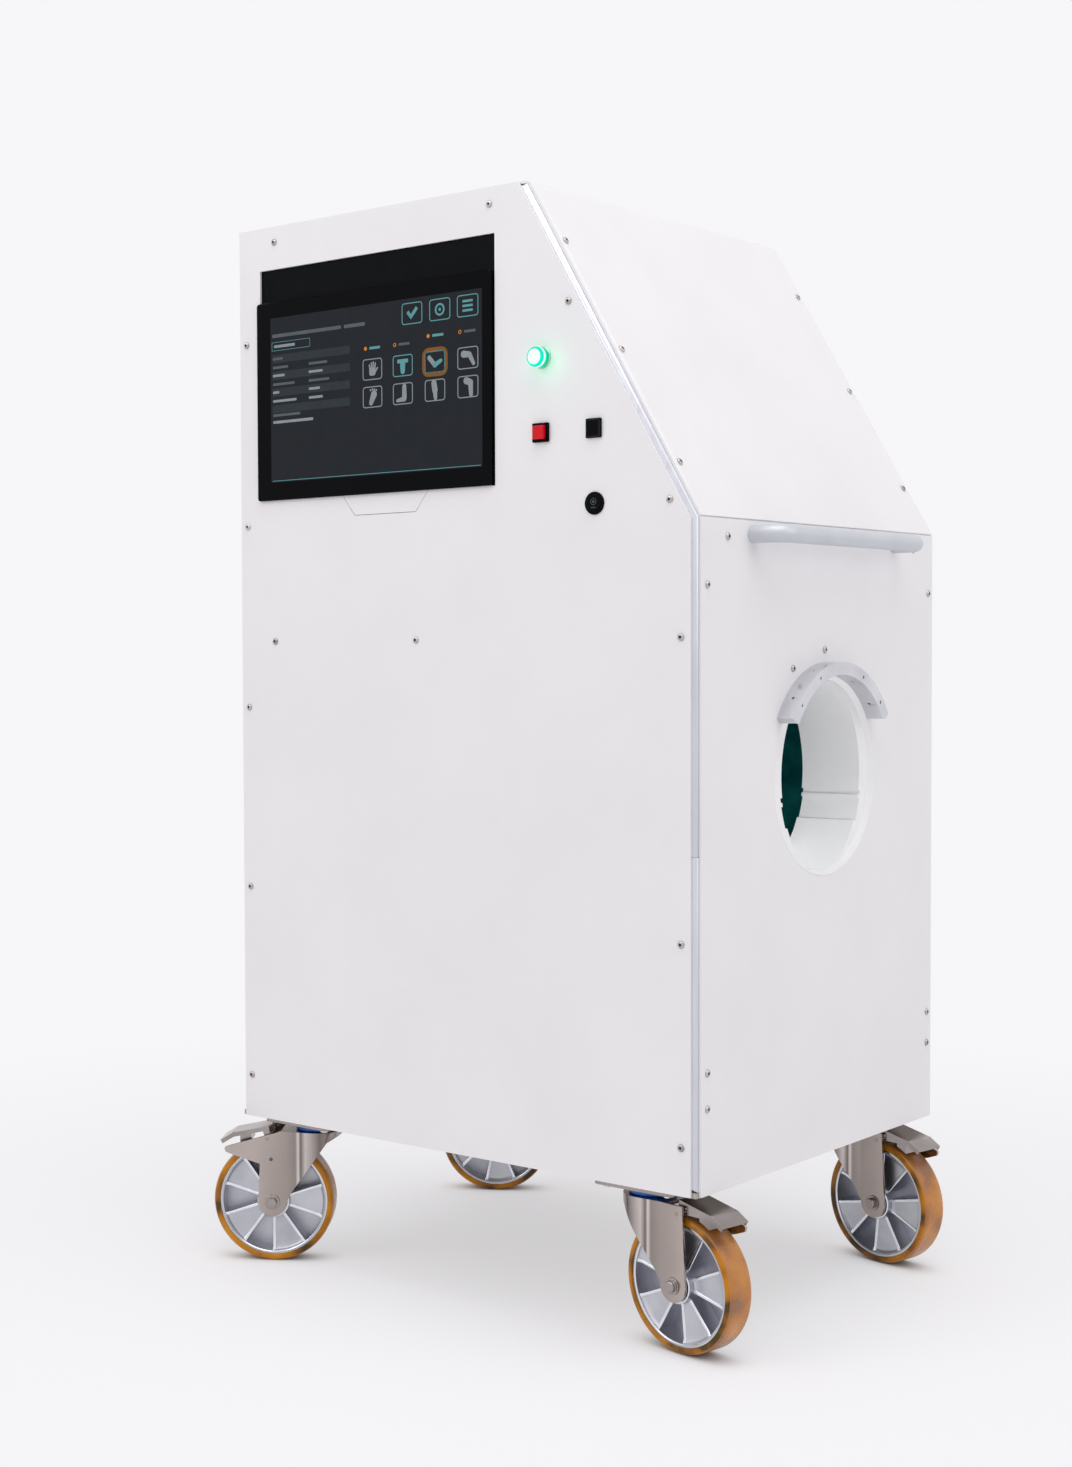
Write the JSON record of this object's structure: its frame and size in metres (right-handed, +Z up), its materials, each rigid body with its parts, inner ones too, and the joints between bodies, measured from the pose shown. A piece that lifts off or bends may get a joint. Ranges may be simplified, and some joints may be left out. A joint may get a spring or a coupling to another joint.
{
  "type": "mri scanner",
  "caption": "Mobile extremity MRI scanner: white cabinet with a sloped shoulder on braked swivel casters, touch screen, push handle and an oval limb bore with a collar.",
  "frame": {"origin": "on the floor, under the middle of the outline", "axes": "+Z up, +X out of the bore face, -Y out of the control face with the screen"},
  "size_m": [0.992, 0.7766, 1.7],
  "materials": {
    "panel_white": "satin",
    "frame_aluminium": "anodised",
    "zinc_steel": "zinc plated",
    "handle_aluminium": "satin",
    "black_plastic": "matte",
    "screen_glass": "gloss",
    "lamp_bezel": "gloss",
    "lamp_green": "lit",
    "button_red": "gloss",
    "liner_white": "satin",
    "collar_aluminium": "brushed",
    "former_teal": "satin",
    "magnet_steel": "satin",
    "painted_steel": "satin",
    "equipment_grey": "satin",
    "fork_steel": "zinc plated",
    "seal_blue": "gloss",
    "wheel_aluminium": "cast",
    "tyre_amber": "satin"
  },
  "bodies": {
    "cabinet": {"lower_frame": "frame_aluminium", "upper_frame": "frame_aluminium", "base_plate": "zinc_steel", "control_panel": "panel_white", "bore_panel": "panel_white", "slope_panel": "panel_white", "top_panel": "panel_white", "back_panel": "panel_white", "side_panel": "panel_white", "panel_screws": "zinc_steel", "monitor_housing": "black_plastic", "monitor_glass": "screen_glass", "screen_tab": "panel_white", "lamp_base": "lamp_bezel", "lamp_lens": "lamp_green", "red_button_bezel": "black_plastic", "black_insert": "black_plastic", "round_button_bezel": "black_plastic", "push_handle": "handle_aluminium", "bore_liner": "liner_white", "guide_rails": "liner_white", "bore_collar": "collar_aluminium", "coil_former": "former_teal", "magnet_rings": "magnet_steel", "magnet_cradle": "painted_steel", "equipment_shelf": "painted_steel", "console": "equipment_grey", "gradient_amplifier": "equipment_grey", "mains_inlet": "black_plastic", "caster_bolts": "zinc_steel", "caster_plate_bore_front": "fork_steel", "caster_seal_bore_front": "seal_blue", "caster_plate_bore_rear": "fork_steel", "caster_seal_bore_rear": "seal_blue", "caster_plate_side_front": "fork_steel", "caster_seal_side_front": "seal_blue", "caster_plate_side_rear": "fork_steel", "caster_seal_side_rear": "seal_blue"},
    "red_button": {"red_button_cap": "button_red"},
    "round_button": {"round_button_cap": "black_plastic"},
    "swivel_bore_front": {"fork_bore_front": "fork_steel", "axle_bore_front": "fork_steel"},
    "wheel_bore_front": {"wheel_centre_bore_front": "wheel_aluminium", "tyre_bore_front": "tyre_amber"},
    "pedal_bore_front": {"brake_pedal_bore_front": "fork_steel"},
    "swivel_bore_rear": {"fork_bore_rear": "fork_steel", "axle_bore_rear": "fork_steel"},
    "wheel_bore_rear": {"wheel_centre_bore_rear": "wheel_aluminium", "tyre_bore_rear": "tyre_amber"},
    "pedal_bore_rear": {"brake_pedal_bore_rear": "fork_steel"},
    "swivel_side_front": {"fork_side_front": "fork_steel", "axle_side_front": "fork_steel"},
    "wheel_side_front": {"wheel_centre_side_front": "wheel_aluminium", "tyre_side_front": "tyre_amber"},
    "pedal_side_front": {"brake_pedal_side_front": "fork_steel"},
    "swivel_side_rear": {"fork_side_rear": "fork_steel", "axle_side_rear": "fork_steel"},
    "wheel_side_rear": {"wheel_centre_side_rear": "wheel_aluminium", "tyre_side_rear": "tyre_amber"},
    "pedal_side_rear": {"brake_pedal_side_rear": "fork_steel"}
  },
  "joints": [
    {"name": "red_button_press", "type": "slide", "parent": "cabinet", "child": "red_button", "axis": [0, 1, 0], "range_m": [0, 0.003], "stiffness_N_per_m": 400},
    {"name": "round_button_press", "type": "slide", "parent": "cabinet", "child": "round_button", "axis": [0, 1, 0], "range_m": [0, 0.002], "stiffness_N_per_m": 400},
    {"name": "swivel_turn_bore_front", "type": "hinge", "parent": "cabinet", "child": "swivel_bore_front", "pos_m": [0.32078, -0.27566, 0.217], "axis": [0, 0, 1], "continuous": true},
    {"name": "wheel_roll_bore_front", "type": "hinge", "parent": "swivel_bore_front", "child": "wheel_bore_front", "pos_m": [0.3898, -0.28733, 0.1], "axis": [0.1668, 0.986, 0], "continuous": true},
    {"name": "brake_press_bore_front", "type": "hinge", "parent": "swivel_bore_front", "child": "pedal_bore_front", "pos_m": [0.39769, -0.28867, 0.205], "axis": [0.1668, 0.986, 0], "range_deg": [0, 5]},
    {"name": "swivel_turn_bore_rear", "type": "hinge", "parent": "cabinet", "child": "swivel_bore_rear", "pos_m": [0.32078, 0.32334, 0.217], "axis": [0, 0, 1], "continuous": true},
    {"name": "wheel_roll_bore_rear", "type": "hinge", "parent": "swivel_bore_rear", "child": "wheel_bore_rear", "pos_m": [0.38945, 0.30974, 0.1], "axis": [0.1942, 0.981, 0], "continuous": true},
    {"name": "brake_press_bore_rear", "type": "hinge", "parent": "swivel_bore_rear", "child": "pedal_bore_rear", "pos_m": [0.3973, 0.30819, 0.205], "axis": [0.1942, 0.981, 0], "range_deg": [0, 5]},
    {"name": "swivel_turn_side_front", "type": "hinge", "parent": "cabinet", "child": "swivel_side_front", "pos_m": [-0.34422, -0.27566, 0.217], "axis": [0, 0, 1], "continuous": true},
    {"name": "wheel_roll_side_front", "type": "hinge", "parent": "swivel_side_front", "child": "wheel_side_front", "pos_m": [-0.40225, -0.3148, 0.1], "axis": [0.5592, -0.829, 0], "continuous": true},
    {"name": "brake_press_side_front", "type": "hinge", "parent": "swivel_side_front", "child": "pedal_side_front", "pos_m": [-0.40888, -0.31928, 0.205], "axis": [0.5592, -0.829, 0], "range_deg": [0, 5]},
    {"name": "swivel_turn_side_rear", "type": "hinge", "parent": "cabinet", "child": "swivel_side_rear", "pos_m": [-0.34422, 0.32334, 0.217], "axis": [0, 0, 1], "continuous": true},
    {"name": "wheel_roll_side_rear", "type": "hinge", "parent": "swivel_side_rear", "child": "wheel_side_rear", "pos_m": [-0.40225, 0.2842, 0.1], "axis": [0.5592, -0.829, 0], "continuous": true},
    {"name": "brake_press_side_rear", "type": "hinge", "parent": "swivel_side_rear", "child": "pedal_side_rear", "pos_m": [-0.40888, 0.27972, 0.205], "axis": [0.5592, -0.829, 0], "range_deg": [0, 5]}
  ]
}
